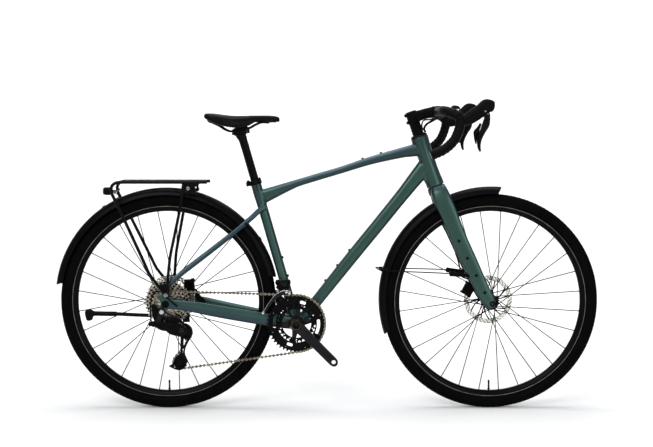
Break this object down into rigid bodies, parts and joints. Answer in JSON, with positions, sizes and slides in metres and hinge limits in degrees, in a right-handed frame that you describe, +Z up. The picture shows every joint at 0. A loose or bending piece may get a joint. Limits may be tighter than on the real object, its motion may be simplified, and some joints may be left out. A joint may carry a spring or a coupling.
{
  "type": "gravel bike",
  "caption": "Drop-bar gravel bicycle with disc brakes, a chain drive with derailleurs, fenders, a rear rack and a folding kickstand.",
  "frame": {"origin": "on the ground under the middle of the overall box, in the bicycle's centre plane", "axes": "+X forwards, +Y to the rider's left, +Z up; the drive side faces -Y"},
  "size_m": [1.7693, 0.4974, 1.0039],
  "materials": {
    "frame_paint": "satin metallic paint",
    "black_alloy": "satin black anodised",
    "rubber": "matt",
    "tyre_rubber": "matt",
    "brushed_steel": "brushed",
    "nickel_steel": "satin nickel",
    "black_plastic": "satin",
    "red_lens": "gloss"
  },
  "bodies": {
    "frame": {"head_tube": "frame_paint", "top_tube": "frame_paint", "down_tube": "frame_paint", "seat_tube": "frame_paint", "seat_clamp": "black_alloy", "bottom_bracket_shell": "frame_paint", "bottom_bracket_bearings": "brushed_steel", "chainstay_right": "frame_paint", "chainstay_left": "frame_paint", "seatstay_right": "frame_paint", "seatstay_left": "frame_paint", "rear_thru_axle": "black_alloy", "rear_derailleur_body": "black_alloy", "front_derailleur_body": "black_alloy", "rear_rack": "black_alloy", "rear_light": "red_lens", "rear_fender": "black_plastic", "rear_brake_caliper": "black_alloy", "kickstand_mount": "black_alloy", "rear_shift_cable": "rubber", "chain": "nickel_steel"},
    "seatpost": {"seatpost": "black_alloy", "saddle_clamp": "black_alloy", "saddle_rails": "brushed_steel", "saddle": "black_plastic"},
    "steering": {"fork": "frame_paint", "headset_cover_and_spacers": "black_alloy", "stem": "black_alloy", "handlebar": "black_alloy", "bar_tape_right": "rubber", "bar_tape_left": "rubber", "lever_hood_right": "rubber", "lever_hood_left": "rubber", "control_hoses": "rubber", "front_fender": "black_plastic", "front_fender_stay": "black_alloy", "front_brake_caliper": "black_alloy", "front_thru_axle": "black_alloy"},
    "front_wheel": {"front_tyre": "tyre_rubber", "front_rim": "black_alloy", "front_hub_and_spokes": "black_alloy", "front_brake_rotor": "brushed_steel"},
    "rear_wheel": {"rear_tyre": "tyre_rubber", "rear_rim": "black_alloy", "rear_hub_and_spokes": "black_alloy", "rear_brake_rotor": "brushed_steel"},
    "crankset": {"crank_arm_right": "black_alloy", "crank_arm_left": "black_alloy", "chainring_outer": "black_alloy", "chainring_inner": "black_alloy"},
    "cassette": {"cassette": "nickel_steel"},
    "derailleur_cage": {"derailleur_cage": "black_alloy"},
    "guide_pulley": {"guide_pulley": "black_plastic"},
    "tension_pulley": {"tension_pulley": "black_plastic"},
    "front_derailleur_cage": {"front_derailleur_cage": "brushed_steel"},
    "kickstand": {"kickstand_leg": "black_alloy"},
    "brake_lever_right": {"brake_lever_right": "black_alloy"},
    "brake_lever_left": {"brake_lever_left": "black_alloy"},
    "shift_paddle_right": {"shift_paddle_right": "black_plastic"},
    "shift_paddle_left": {"shift_paddle_left": "black_plastic"}
  },
  "joints": [
    {"name": "steering", "type": "hinge", "parent": "frame", "child": "steering", "pos_m": [0.3535, 0, 0.7293], "axis": [-0.3256, 0, 0.9455], "range_deg": [-60, 60]},
    {"name": "front_wheel_spin", "type": "hinge", "parent": "steering", "child": "front_wheel", "pos_m": [0.5325, 0, 0.352], "axis": [0, 1, 0], "continuous": true},
    {"name": "rear_wheel_spin", "type": "hinge", "parent": "frame", "child": "rear_wheel", "pos_m": [-0.5185, 0, 0.352], "axis": [0, 1, 0], "continuous": true},
    {"name": "crank_spin", "type": "hinge", "parent": "frame", "child": "crankset", "pos_m": [-0.0987, 0, 0.285], "axis": [0, 1, 0], "continuous": true},
    {"name": "cassette_spin", "type": "hinge", "parent": "frame", "child": "cassette", "pos_m": [-0.5185, 0, 0.352], "axis": [0, 1, 0], "continuous": true},
    {"name": "derailleur_cage_swing", "type": "hinge", "parent": "frame", "child": "derailleur_cage", "pos_m": [-0.4665, -0.065, 0.2682], "axis": [0, 1, 0], "range_deg": [-20, 12], "stiffness_Nm_per_rad": 0.6, "deforming": ["chain"]},
    {"name": "guide_pulley_spin", "type": "hinge", "parent": "derailleur_cage", "child": "guide_pulley", "pos_m": [-0.4603, -0.048, 0.2545], "axis": [0, 1, 0], "continuous": true},
    {"name": "tension_pulley_spin", "type": "hinge", "parent": "derailleur_cage", "child": "tension_pulley", "pos_m": [-0.4767, -0.048, 0.1594], "axis": [0, 1, 0], "continuous": true},
    {"name": "front_derailleur_swing", "type": "hinge", "parent": "frame", "child": "front_derailleur_cage", "pos_m": [-0.142, -0.029, 0.417], "axis": [1, 0, 0], "range_deg": [0, 6], "stiffness_Nm_per_rad": 0.4, "deforming": ["chain"]},
    {"name": "kickstand_fold", "type": "hinge", "parent": "frame", "child": "kickstand", "pos_m": [-0.47, 0.0785, 0.286], "axis": [0, -0.9063, -0.4226], "range_deg": [0, 75]},
    {"name": "seatpost_slide", "type": "slide", "parent": "frame", "child": "seatpost", "axis": [-0.2759, 0, 0.9612], "range_m": [-0.08, 0.05]},
    {"name": "brake_lever_right_pull", "type": "hinge", "parent": "steering", "child": "brake_lever_right", "pos_m": [0.49, -0.218, 0.954], "axis": [0, 1, 0], "range_deg": [0, 12], "stiffness_Nm_per_rad": 0.5, "springref_deg": -11.46},
    {"name": "brake_lever_left_pull", "type": "hinge", "parent": "steering", "child": "brake_lever_left", "pos_m": [0.49, 0.218, 0.954], "axis": [0, 1, 0], "range_deg": [0, 12], "stiffness_Nm_per_rad": 0.5, "springref_deg": -11.46},
    {"name": "shift_paddle_right_push", "type": "hinge", "parent": "brake_lever_right", "child": "shift_paddle_right", "pos_m": [0.467, -0.218, 0.931], "axis": [1, 0, 0], "range_deg": [0, 14], "stiffness_Nm_per_rad": 0.1, "springref_deg": -11.46},
    {"name": "shift_paddle_left_push", "type": "hinge", "parent": "brake_lever_left", "child": "shift_paddle_left", "pos_m": [0.467, 0.218, 0.931], "axis": [-1, 0, 0], "range_deg": [0, 14], "stiffness_Nm_per_rad": 0.1, "springref_deg": -11.46}
  ],
  "couplings": [
    {"joint": "cassette_spin", "follows": "crank_spin", "ratio": 2.4211},
    {"joint": "guide_pulley_spin", "follows": "crank_spin", "ratio": -4.1818},
    {"joint": "tension_pulley_spin", "follows": "crank_spin", "ratio": 4.1818}
  ]
}
